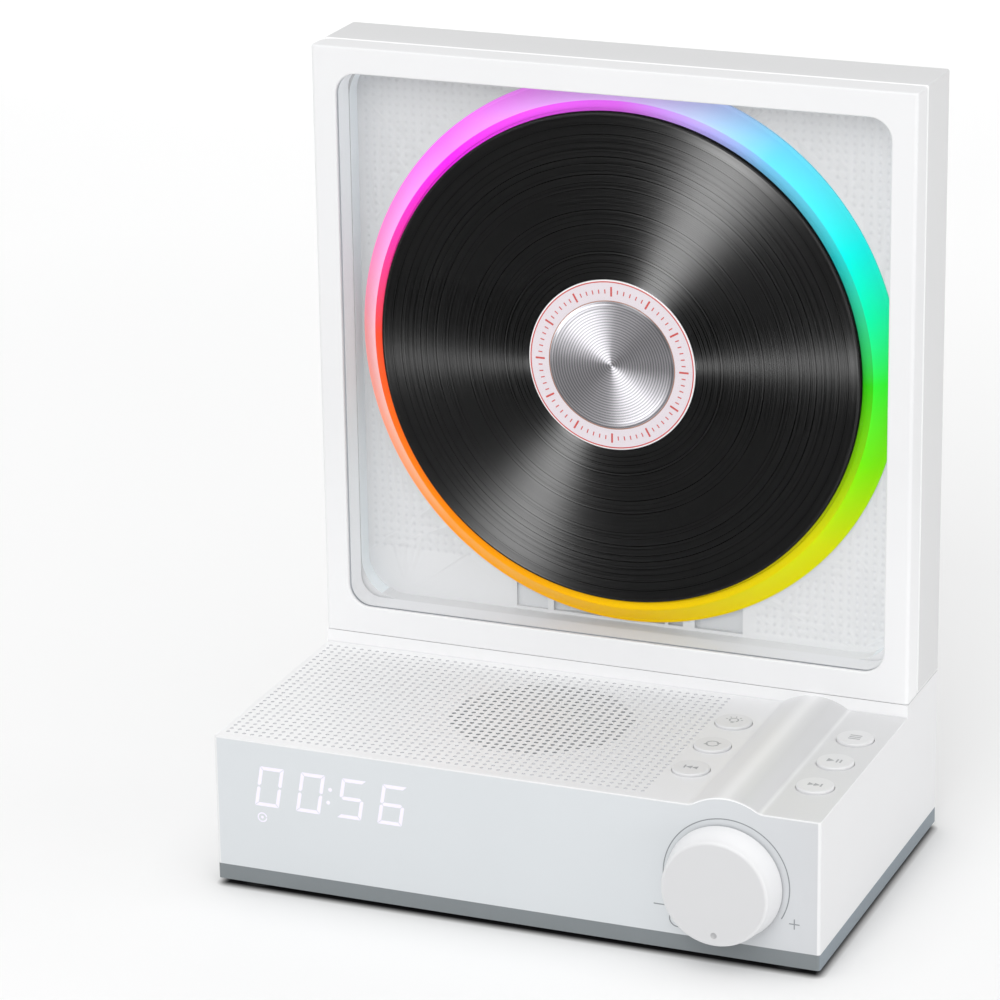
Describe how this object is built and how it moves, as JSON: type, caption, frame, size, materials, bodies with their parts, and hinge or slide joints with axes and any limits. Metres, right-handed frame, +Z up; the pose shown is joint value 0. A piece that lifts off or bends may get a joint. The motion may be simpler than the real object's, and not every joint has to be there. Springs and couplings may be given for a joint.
{
  "type": "bluetooth cd player",
  "caption": "Upright disc player: low speaker case with display, knob and round keys, and a tall windowed door over a record-look clamp disc with a glowing colour ring.",
  "frame": {"origin": "middle of the footprint, on the surface that the feet stand on", "axes": "+Z up, front panel and knob towards -Y, +X to the right seen from the front"},
  "size_m": [0.18, 0.118, 0.2275],
  "materials": {
    "white_shell": "fine satin moulded white",
    "grey_base": "satin grey moulding",
    "foot_rubber": "matt black rubber",
    "panel_tint": "blue-grey satin acrylic",
    "clear_pane": "clear acrylic",
    "grey_liner": "light grey satin",
    "well_grey": "light grey satin with fine dots",
    "light_diffuser": "frosted acrylic lit in a colour wheel",
    "record_black": "black grooved plastic",
    "label_print": "pale pink printed ring",
    "hub_metal": "spun",
    "disc_poly": "mirror-coated polycarbonate",
    "steel": "bright zinc",
    "magnet_nickel": "nickel plated",
    "board_green": "solder mask",
    "black_plastic": "black moulding",
    "cone_paper": "black paper cone",
    "gear_nylon": "natural acetal",
    "lens_glass": "coated lens",
    "board_white": "white solder mask"
  },
  "bodies": {
    "cabinet": {"aux_jack": "black_plastic", "bluetooth_module": "board_green", "bottom_plate": "grey_base", "case_screws": "steel", "catch_plate": "steel", "disc_well": "well_grey", "display_board": "board_green", "display_module": "black_plastic", "drive_chassis": "black_plastic", "drive_dampers": "foot_rubber", "encoder_body": "black_plastic", "encoder_nut": "steel", "front_panel": "panel_tint", "gear_axle": "steel", "guide_rods": "steel", "hinge_bracket": "steel", "ir_receiver": "black_plastic", "key_board": "board_green", "led_ring_board": "board_white", "light_ring": "light_diffuser", "lower_hinge_pin": "steel", "main_board": "board_green", "power_inlet": "steel", "rear_shell": "white_shell", "ribbon_cable": "board_white", "rubber_feet": "foot_rubber", "shell_screws": "steel", "sled_motor": "steel", "speaker_cone": "cone_paper", "speaker_frame": "steel", "speaker_grille": "white_shell", "speaker_magnet": "magnet_nickel", "spindle_motor": "steel", "tact_switches": "black_plastic", "top_case": "white_shell"},
    "door": {"door_frame": "white_shell", "window_pane": "clear_pane", "window_retainer": "grey_liner", "door_magnet": "magnet_nickel", "upper_hinge_pin": "steel"},
    "platter": {"spindle_shaft": "steel", "turntable_hub": "black_plastic", "compact_disc": "disc_poly", "record_disc": "record_black", "clamp_magnet": "magnet_nickel", "record_label": "label_print", "hub_cap": "hub_metal"},
    "sled": {"pickup_sled": "black_plastic", "objective_lens": "lens_glass"},
    "double_gear": {"sled_gear": "gear_nylon"},
    "pinion": {"motor_pinion": "gear_nylon"},
    "knob_stem": {"encoder_plunger": "black_plastic"},
    "knob": {"encoder_shaft": "steel", "volume_knob": "white_shell"},
    "lamp_key": {"key_lamp": "white_shell"},
    "repeat_key": {"key_repeat": "white_shell"},
    "previous_key": {"key_previous": "white_shell"},
    "mode_key": {"key_mode": "white_shell"},
    "play_key": {"key_play_pause": "white_shell"},
    "next_key": {"key_next": "white_shell"}
  },
  "joints": [
    {"name": "door_swing", "type": "hinge", "parent": "cabinet", "child": "door", "pos_m": [-0.0855, 0.0336, 0.1387], "axis": [0, 0, -1], "range_deg": [0, 90]},
    {"name": "platter_spin", "type": "hinge", "parent": "cabinet", "child": "platter", "pos_m": [0, 0.038, 0.1404], "axis": [0, 1, 0], "continuous": true},
    {"name": "sled_travel", "type": "slide", "parent": "cabinet", "child": "sled", "axis": [1, 0, 0], "range_m": [0, 0.033]},
    {"name": "sled_gear_spin", "type": "hinge", "parent": "cabinet", "child": "double_gear", "pos_m": [0.024, 0.045, 0.1128], "axis": [0, 1, 0], "range_deg": [0, 526]},
    {"name": "pinion_spin", "type": "hinge", "parent": "cabinet", "child": "pinion", "pos_m": [0.012, 0.046, 0.1128], "axis": [0, 1, 0], "range_deg": [-1577, 0]},
    {"name": "knob_push", "type": "slide", "parent": "cabinet", "child": "knob_stem", "axis": [0, 1, 0], "range_m": [0, 0.0005], "stiffness_N_per_m": 2400},
    {"name": "knob_spin", "type": "hinge", "parent": "knob_stem", "child": "knob", "pos_m": [0.0627, -0.05, 0.0242], "axis": [0, 1, 0], "continuous": true},
    {"name": "lamp_press", "type": "slide", "parent": "cabinet", "child": "lamp_key", "axis": [0, 0, -1], "range_m": [0, 0.0007], "stiffness_N_per_m": 1000},
    {"name": "repeat_press", "type": "slide", "parent": "cabinet", "child": "repeat_key", "axis": [0, 0, -1], "range_m": [0, 0.0007], "stiffness_N_per_m": 1000},
    {"name": "previous_press", "type": "slide", "parent": "cabinet", "child": "previous_key", "axis": [0, 0, -1], "range_m": [0, 0.0007], "stiffness_N_per_m": 1000},
    {"name": "mode_press", "type": "slide", "parent": "cabinet", "child": "mode_key", "axis": [0, 0, -1], "range_m": [0, 0.0007], "stiffness_N_per_m": 1000},
    {"name": "play_press", "type": "slide", "parent": "cabinet", "child": "play_key", "axis": [0, 0, -1], "range_m": [0, 0.0007], "stiffness_N_per_m": 1000},
    {"name": "next_press", "type": "slide", "parent": "cabinet", "child": "next_key", "axis": [0, 0, -1], "range_m": [0, 0.0007], "stiffness_N_per_m": 1000}
  ],
  "couplings": [
    {"joint": "sled_gear_spin", "follows": "sled_travel", "rad_per_m": 277.78},
    {"joint": "pinion_spin", "follows": "sled_travel", "rad_per_m": -833.33}
  ]
}
